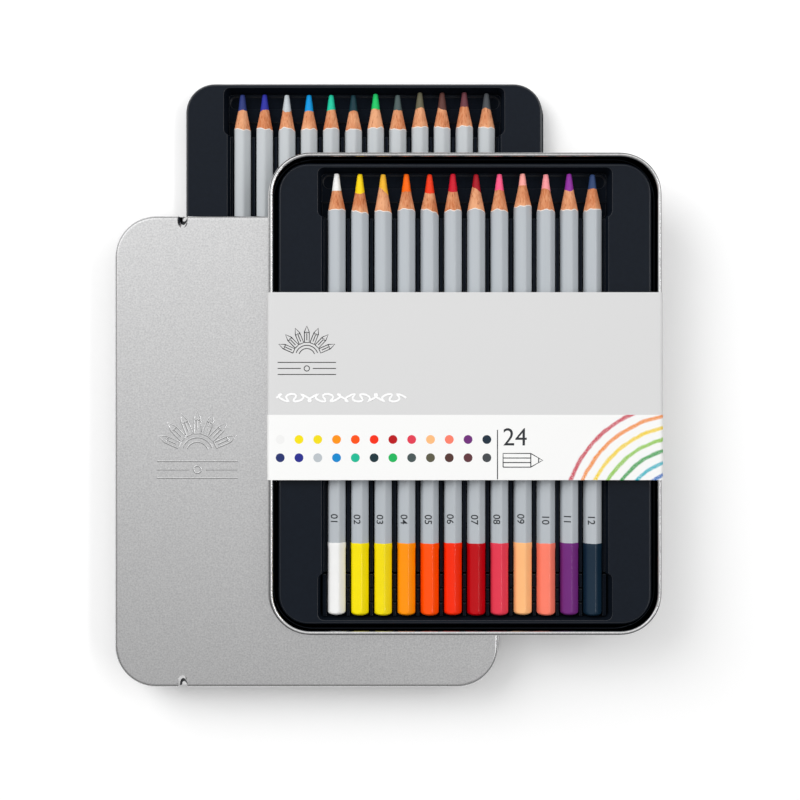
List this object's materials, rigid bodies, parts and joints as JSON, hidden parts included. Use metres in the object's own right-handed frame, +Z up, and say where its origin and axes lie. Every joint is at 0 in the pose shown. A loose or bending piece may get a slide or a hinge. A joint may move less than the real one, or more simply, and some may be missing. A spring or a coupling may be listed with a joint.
{
  "type": "colored pencil tin",
  "caption": "Flat pencil tin with a separate slip lid and two molded trays of hexagonal thick-core colored pencils, held by a card band.",
  "frame": {"origin": "bottom centre of the whole stack, on the surface it stands on", "axes": "+Z up, +Y towards the pencil points, +X across the pencils to the right"},
  "size_m": [0.2218, 0.251, 0.034],
  "materials": {
    "tinplate": "satin, fine grained coating",
    "tray_plastic": "satin black vacuum-formed sheet",
    "card": "matt printed card",
    "lacquered_wood": "grey lacquer over cedar-colored wood",
    "color_01": "waxy color core and dipped end",
    "color_02": "waxy color core and dipped end",
    "color_03": "waxy color core and dipped end",
    "color_04": "waxy color core and dipped end",
    "color_05": "waxy color core and dipped end",
    "color_06": "waxy color core and dipped end",
    "color_07": "waxy color core and dipped end",
    "color_08": "waxy color core and dipped end",
    "color_09": "waxy color core and dipped end",
    "color_10": "waxy color core and dipped end",
    "color_11": "waxy color core and dipped end",
    "color_12": "waxy color core and dipped end",
    "color_13": "waxy color core and dipped end",
    "color_14": "waxy color core and dipped end",
    "color_15": "waxy color core and dipped end",
    "color_16": "waxy color core and dipped end",
    "color_17": "waxy color core and dipped end",
    "color_18": "waxy color core and dipped end",
    "color_19": "waxy color core and dipped end",
    "color_20": "waxy color core and dipped end",
    "color_21": "waxy color core and dipped end",
    "color_22": "waxy color core and dipped end",
    "color_23": "waxy color core and dipped end",
    "color_24": "waxy color core and dipped end"
  },
  "bodies": {
    "second_tray": {"second_tray": "tray_plastic"},
    "lid": {"lid": "tinplate"},
    "tin": {"tin_base": "tinplate"},
    "band": {"card_band": "card"},
    "front_tray": {"front_tray": "tray_plastic"},
    "pencil_01": {"pencil_01": "lacquered_wood", "core_01": "color_01"},
    "pencil_02": {"pencil_02": "lacquered_wood", "core_02": "color_02"},
    "pencil_03": {"pencil_03": "lacquered_wood", "core_03": "color_03"},
    "pencil_04": {"pencil_04": "lacquered_wood", "core_04": "color_04"},
    "pencil_05": {"pencil_05": "lacquered_wood", "core_05": "color_05"},
    "pencil_06": {"pencil_06": "lacquered_wood", "core_06": "color_06"},
    "pencil_07": {"pencil_07": "lacquered_wood", "core_07": "color_07"},
    "pencil_08": {"pencil_08": "lacquered_wood", "core_08": "color_08"},
    "pencil_09": {"pencil_09": "lacquered_wood", "core_09": "color_09"},
    "pencil_10": {"pencil_10": "lacquered_wood", "core_10": "color_10"},
    "pencil_11": {"pencil_11": "lacquered_wood", "core_11": "color_11"},
    "pencil_12": {"pencil_12": "lacquered_wood", "core_12": "color_12"},
    "pencil_13": {"pencil_13": "lacquered_wood", "core_13": "color_13"},
    "pencil_14": {"pencil_14": "lacquered_wood", "core_14": "color_14"},
    "pencil_15": {"pencil_15": "lacquered_wood", "core_15": "color_15"},
    "pencil_16": {"pencil_16": "lacquered_wood", "core_16": "color_16"},
    "pencil_17": {"pencil_17": "lacquered_wood", "core_17": "color_17"},
    "pencil_18": {"pencil_18": "lacquered_wood", "core_18": "color_18"},
    "pencil_19": {"pencil_19": "lacquered_wood", "core_19": "color_19"},
    "pencil_20": {"pencil_20": "lacquered_wood", "core_20": "color_20"},
    "pencil_21": {"pencil_21": "lacquered_wood", "core_21": "color_21"},
    "pencil_22": {"pencil_22": "lacquered_wood", "core_22": "color_22"},
    "pencil_23": {"pencil_23": "lacquered_wood", "core_23": "color_23"},
    "pencil_24": {"pencil_24": "lacquered_wood", "core_24": "color_24"}
  },
  "joints": [
    {"name": "lid_lift", "type": "slide", "parent": "second_tray", "child": "lid", "axis": [0, 0, 1], "range_m": [0, 0.06]},
    {"name": "base_lift", "type": "slide", "parent": "lid", "child": "tin", "axis": [0, 0, 1], "range_m": [0, 0.06]},
    {"name": "band_slide", "type": "slide", "parent": "tin", "child": "band", "axis": [0, -1, 0], "range_m": [0, 0.14]},
    {"name": "front_tray_lift", "type": "slide", "parent": "tin", "child": "front_tray", "axis": [0, 0, 1], "range_m": [0, 0.0024]},
    {"name": "pencil_01_shift", "type": "slide", "parent": "front_tray", "child": "pencil_01", "axis": [0, 1, 0], "range_m": [-0.00055, 0.00102]},
    {"name": "pencil_02_shift", "type": "slide", "parent": "front_tray", "child": "pencil_02", "axis": [0, 1, 0], "range_m": [-0.00035, 0.00122]},
    {"name": "pencil_03_shift", "type": "slide", "parent": "front_tray", "child": "pencil_03", "axis": [0, 1, 0], "range_m": [-0.00025, 0.00132]},
    {"name": "pencil_04_shift", "type": "slide", "parent": "front_tray", "child": "pencil_04", "axis": [0, 1, 0], "range_m": [-0.00035, 0.00122]},
    {"name": "pencil_05_shift", "type": "slide", "parent": "front_tray", "child": "pencil_05", "axis": [0, 1, 0], "range_m": [-0.00025, 0.00132]},
    {"name": "pencil_06_shift", "type": "slide", "parent": "front_tray", "child": "pencil_06", "axis": [0, 1, 0], "range_m": [-0.00045, 0.00112]},
    {"name": "pencil_07_shift", "type": "slide", "parent": "front_tray", "child": "pencil_07", "axis": [0, 1, 0], "range_m": [-0.00025, 0.00132]},
    {"name": "pencil_08_shift", "type": "slide", "parent": "front_tray", "child": "pencil_08", "axis": [0, 1, 0], "range_m": [-0.00035, 0.00122]},
    {"name": "pencil_09_shift", "type": "slide", "parent": "front_tray", "child": "pencil_09", "axis": [0, 1, 0], "range_m": [-0.00055, 0.00102]},
    {"name": "pencil_10_shift", "type": "slide", "parent": "front_tray", "child": "pencil_10", "axis": [0, 1, 0], "range_m": [-0.00025, 0.00132]},
    {"name": "pencil_11_shift", "type": "slide", "parent": "front_tray", "child": "pencil_11", "axis": [0, 1, 0], "range_m": [-0.00045, 0.00112]},
    {"name": "pencil_12_shift", "type": "slide", "parent": "front_tray", "child": "pencil_12", "axis": [0, 1, 0], "range_m": [-0.00015, 0.00142]},
    {"name": "pencil_13_shift", "type": "slide", "parent": "second_tray", "child": "pencil_13", "axis": [0, 1, 0], "range_m": [-0.00035, 0.00122]},
    {"name": "pencil_14_shift", "type": "slide", "parent": "second_tray", "child": "pencil_14", "axis": [0, 1, 0], "range_m": [-0.00045, 0.00112]},
    {"name": "pencil_15_shift", "type": "slide", "parent": "second_tray", "child": "pencil_15", "axis": [0, 1, 0], "range_m": [-0.00025, 0.00132]},
    {"name": "pencil_16_shift", "type": "slide", "parent": "second_tray", "child": "pencil_16", "axis": [0, 1, 0], "range_m": [-0.00025, 0.00132]},
    {"name": "pencil_17_shift", "type": "slide", "parent": "second_tray", "child": "pencil_17", "axis": [0, 1, 0], "range_m": [-0.00025, 0.00132]},
    {"name": "pencil_18_shift", "type": "slide", "parent": "second_tray", "child": "pencil_18", "axis": [0, 1, 0], "range_m": [-0.00015, 0.00142]},
    {"name": "pencil_19_shift", "type": "slide", "parent": "second_tray", "child": "pencil_19", "axis": [0, 1, 0], "range_m": [-0.00075, 0.00082]},
    {"name": "pencil_20_shift", "type": "slide", "parent": "second_tray", "child": "pencil_20", "axis": [0, 1, 0], "range_m": [-0.00025, 0.00132]},
    {"name": "pencil_21_shift", "type": "slide", "parent": "second_tray", "child": "pencil_21", "axis": [0, 1, 0], "range_m": [-0.00135, 0.00022]},
    {"name": "pencil_22_shift", "type": "slide", "parent": "second_tray", "child": "pencil_22", "axis": [0, 1, 0], "range_m": [-0.00125, 0.00032]},
    {"name": "pencil_23_shift", "type": "slide", "parent": "second_tray", "child": "pencil_23", "axis": [0, 1, 0], "range_m": [-0.00145, 0.00012]},
    {"name": "pencil_24_shift", "type": "slide", "parent": "second_tray", "child": "pencil_24", "axis": [0, 1, 0], "range_m": [-0.00095, 0.00062]}
  ]
}
